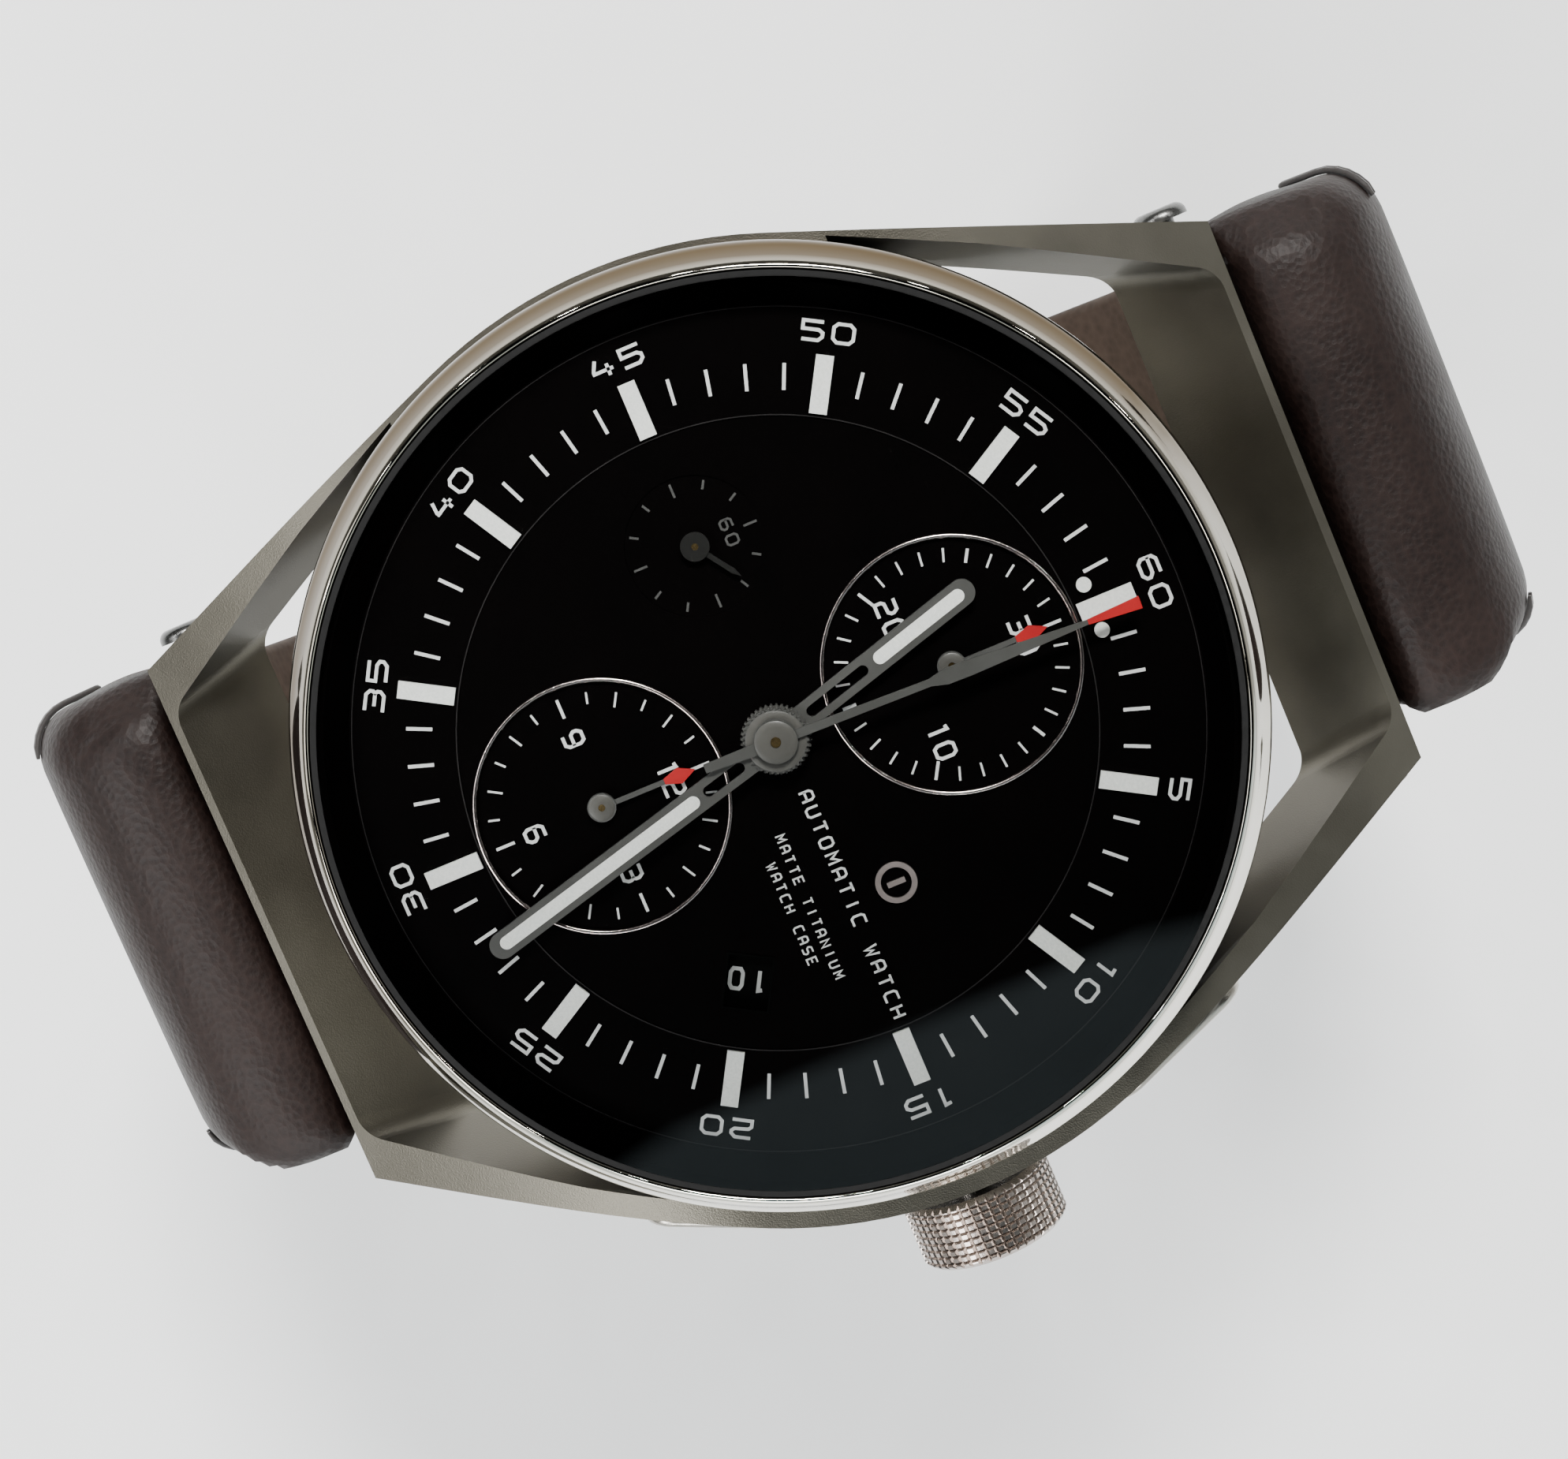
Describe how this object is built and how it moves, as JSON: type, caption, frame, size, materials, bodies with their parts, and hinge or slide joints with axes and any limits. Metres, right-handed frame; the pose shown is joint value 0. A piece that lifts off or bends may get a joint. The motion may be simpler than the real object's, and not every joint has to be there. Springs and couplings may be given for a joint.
{
  "type": "chronograph wristwatch",
  "caption": "Chronograph wristwatch: round case in an open lug frame, black dial with counters, knurled crown, pushers, leather strap closed in a loop by a folding clasp.",
  "frame": {"origin": "centre of the case back's flat outer face", "axes": "+Z out of the dial, +Y towards 12 o'clock, +X towards 3 o'clock and the crown"},
  "size_m": [0.0465, 0.069, 0.0608],
  "materials": {
    "titanium_blasted": "bead-blasted titanium",
    "titanium_satin": "satin titanium",
    "titanium_polished": "polished titanium",
    "steel": "fine brushed",
    "spring_steel": "bright",
    "sapphire": "clear, domed",
    "back_sapphire": "clear",
    "gasket_rubber": "matt",
    "dial_black": "matt black lacquer",
    "rim_chrome": "polished",
    "lume_white": "luminous compound",
    "hand_grey": "dark grey satin",
    "counter_grey": "satin, red tip",
    "date_black": "matt",
    "rhodium_brass": "rhodium plated",
    "gilt_brass": "gilt",
    "ruby": "polished synthetic ruby",
    "rotor_dark": "brushed heavy alloy",
    "leather_brown": "smooth dark brown calf",
    "clasp_titanium": "satin titanium"
  },
  "bodies": {
    "watch_head": {"case_middle": "titanium_satin", "lug_frame": "titanium_blasted", "bezel": "titanium_polished", "crystal": "sapphire", "crystal_gasket": "gasket_rubber", "rehaut_ring": "dial_black", "case_back_ring": "titanium_satin", "case_back_crystal": "back_sapphire", "case_back_gaskets": "gasket_rubber", "case_back_screws": "steel", "lug_bars": "titanium_polished", "crown_tube": "steel", "pusher_springs": "spring_steel", "dial": "dial_black", "subdial_rings": "rim_chrome", "hour_markers": "lume_white", "movement_holder": "steel", "mainplate": "rhodium_brass", "train_bridge": "rhodium_brass", "balance_bridge": "rhodium_brass", "movement_screws": "steel", "jewels": "ruby", "hairspring": "spring_steel", "rotor_bearing": "steel"},
    "minute_hand_set": {"minute_hand": "hand_grey", "minute_hand_lume": "lume_white", "cannon_pinion": "steel"},
    "hour_hand_set": {"hour_hand": "hand_grey", "hour_hand_lume": "lume_white", "hour_wheel": "gilt_brass"},
    "motion_wheel_set": {"motion_wheel": "gilt_brass"},
    "date_disc_set": {"date_disc": "date_black"},
    "small_seconds_set": {"small_seconds_hand": "counter_grey", "fourth_wheel": "gilt_brass"},
    "third_wheel_set": {"third_wheel": "gilt_brass"},
    "centre_wheel_set": {"centre_wheel": "gilt_brass"},
    "barrel_set": {"barrel": "gilt_brass"},
    "escape_wheel_set": {"escape_wheel": "steel"},
    "pallet_fork_set": {"pallet_fork": "steel"},
    "balance_set": {"balance_wheel": "gilt_brass"},
    "chrono_seconds_set": {"chrono_seconds_hand": "hand_grey", "chrono_wheel": "gilt_brass"},
    "minute_counter_set": {"minute_counter_hand": "counter_grey", "minute_counter_wheel": "gilt_brass"},
    "hour_counter_set": {"hour_counter_hand": "counter_grey", "hour_counter_wheel": "gilt_brass"},
    "rotor_set": {"rotor": "rotor_dark"},
    "setting_slide": {"setting_lever": "steel"},
    "crown_set": {"crown": "titanium_satin", "winding_stem": "steel"},
    "start_pusher": {"pusher_start": "titanium_satin"},
    "reset_pusher": {"pusher_reset": "titanium_satin"},
    "strap_6_set": {"strap_6": "leather_brown", "clasp_cover": "clasp_titanium", "clasp_bar_6": "steel"},
    "strap_12_set": {"strap_12": "leather_brown", "clasp_bar_12": "steel"},
    "clasp_blade_set": {"clasp_blade": "clasp_titanium"},
    "button_right": {"clasp_button_right": "titanium_polished"},
    "button_left": {"clasp_button_left": "titanium_polished"}
  },
  "joints": [
    {"name": "minute_hand_turn", "type": "hinge", "parent": "watch_head", "child": "minute_hand_set", "pos_m": [0, 0, 0.0117], "axis": [0, 0, 1], "continuous": true},
    {"name": "hour_hand_turn", "type": "hinge", "parent": "watch_head", "child": "hour_hand_set", "pos_m": [0, 0, 0.0117], "axis": [0, 0, 1], "continuous": true},
    {"name": "motion_wheel_turn", "type": "hinge", "parent": "watch_head", "child": "motion_wheel_set", "pos_m": [0.00256, 0, 0.0109], "axis": [0, 0, 1], "continuous": true},
    {"name": "date_disc_turn", "type": "hinge", "parent": "watch_head", "child": "date_disc_set", "pos_m": [0, 0, 0.011], "axis": [0, 0, 1], "continuous": true},
    {"name": "small_seconds_turn", "type": "hinge", "parent": "watch_head", "child": "small_seconds_set", "pos_m": [-0.0088, 0, 0.008], "axis": [0, 0, 1], "continuous": true},
    {"name": "third_wheel_turn", "type": "hinge", "parent": "watch_head", "child": "third_wheel_set", "pos_m": [-0.00425, 0.0003, 0.008], "axis": [0, 0, 1], "continuous": true},
    {"name": "centre_wheel_turn", "type": "hinge", "parent": "watch_head", "child": "centre_wheel_set", "pos_m": [0, 0, 0.008], "axis": [0, 0, 1], "continuous": true},
    {"name": "barrel_turn", "type": "hinge", "parent": "watch_head", "child": "barrel_set", "pos_m": [0.0026, -0.00613, 0.007], "axis": [0, 0, 1], "continuous": true},
    {"name": "escape_wheel_turn", "type": "hinge", "parent": "watch_head", "child": "escape_wheel_set", "pos_m": [-0.00764, 0.00384, 0.007], "axis": [0, 0, 1], "continuous": true},
    {"name": "chrono_seconds_turn", "type": "hinge", "parent": "watch_head", "child": "chrono_seconds_set", "pos_m": [0, 0, 0.008], "axis": [0, 0, 1], "continuous": true},
    {"name": "minute_counter_turn", "type": "hinge", "parent": "watch_head", "child": "minute_counter_set", "pos_m": [0, 0.008, 0.008], "axis": [0, 0, 1], "continuous": true},
    {"name": "hour_counter_turn", "type": "hinge", "parent": "watch_head", "child": "hour_counter_set", "pos_m": [-0.0001, -0.008, 0.008], "axis": [0, 0, 1], "continuous": true},
    {"name": "rotor_turn", "type": "hinge", "parent": "watch_head", "child": "rotor_set", "pos_m": [0, 0, 0.0027], "axis": [0, 0, 1], "continuous": true},
    {"name": "pallet_rock", "type": "hinge", "parent": "watch_head", "child": "pallet_fork_set", "pos_m": [-0.0055, 0.0059, 0.0065], "axis": [0, 0, 1], "range_deg": [-5, 5]},
    {"name": "balance_swing", "type": "hinge", "parent": "watch_head", "child": "balance_set", "pos_m": [-0.0036, 0.0085, 0.0055], "axis": [0, 0, 1], "range_deg": [-270, 270], "stiffness_Nm_per_rad": 0.000001},
    {"name": "crown_pull", "type": "slide", "parent": "watch_head", "child": "setting_slide", "axis": [1, 0, 0], "range_m": [0, 0.0012]},
    {"name": "crown_turn", "type": "hinge", "parent": "setting_slide", "child": "crown_set", "pos_m": [0.024, 0, 0.0067], "axis": [1, 0, 0], "continuous": true},
    {"name": "start_press", "type": "slide", "parent": "watch_head", "child": "start_pusher", "axis": [-0.9198, -0.3923, 0], "range_m": [0, 0.0007], "stiffness_N_per_m": 3000, "springref_m": -0.0003},
    {"name": "reset_press", "type": "slide", "parent": "watch_head", "child": "reset_pusher", "axis": [-0.9198, 0.3923, 0], "range_m": [0, 0.0007], "stiffness_N_per_m": 3000, "springref_m": -0.0003},
    {"name": "strap_6_open", "type": "hinge", "parent": "watch_head", "child": "strap_6_set", "pos_m": [0, -0.0241, 0.0015], "axis": [-1, 0, 0], "range_deg": [0, 10]},
    {"name": "strap_12_swing", "type": "hinge", "parent": "watch_head", "child": "strap_12_set", "pos_m": [0, 0.0241, 0.0015], "axis": [-1, 0, 0], "range_deg": [0, 10.6]},
    {"name": "clasp_blade_fold", "type": "hinge", "parent": "strap_12_set", "child": "clasp_blade_set", "pos_m": [0, 0.0172, -0.0434], "axis": [1, 0, 0], "range_deg": [0, 17]},
    {"name": "button_right_press", "type": "slide", "parent": "strap_6_set", "child": "button_right", "axis": [-1, 0, 0], "range_m": [0, 0.0007], "stiffness_N_per_m": 2000, "springref_m": -0.0003},
    {"name": "button_left_press", "type": "slide", "parent": "strap_6_set", "child": "button_left", "axis": [1, 0, 0], "range_m": [0, 0.0007], "stiffness_N_per_m": 2000, "springref_m": -0.0003}
  ],
  "couplings": [
    {"joint": "hour_hand_turn", "follows": "minute_hand_turn", "ratio": 0.083333},
    {"joint": "motion_wheel_turn", "follows": "minute_hand_turn", "ratio": -0.33333},
    {"joint": "date_disc_turn", "follows": "minute_hand_turn", "ratio": 0.0013441},
    {"joint": "third_wheel_turn", "follows": "small_seconds_turn", "ratio": -0.13333},
    {"joint": "centre_wheel_turn", "follows": "small_seconds_turn", "ratio": 0.016667},
    {"joint": "barrel_turn", "follows": "small_seconds_turn", "ratio": -0.0027778},
    {"joint": "escape_wheel_turn", "follows": "small_seconds_turn", "ratio": -10},
    {"joint": "minute_counter_turn", "follows": "chrono_seconds_turn", "ratio": 0.016667},
    {"joint": "hour_counter_turn", "follows": "chrono_seconds_turn", "ratio": 0.0013889},
    {"joint": "strap_12_swing", "follows": "strap_6_open", "ratio": 1.0582},
    {"joint": "clasp_blade_fold", "follows": "strap_6_open", "ratio": 1.699}
  ]
}
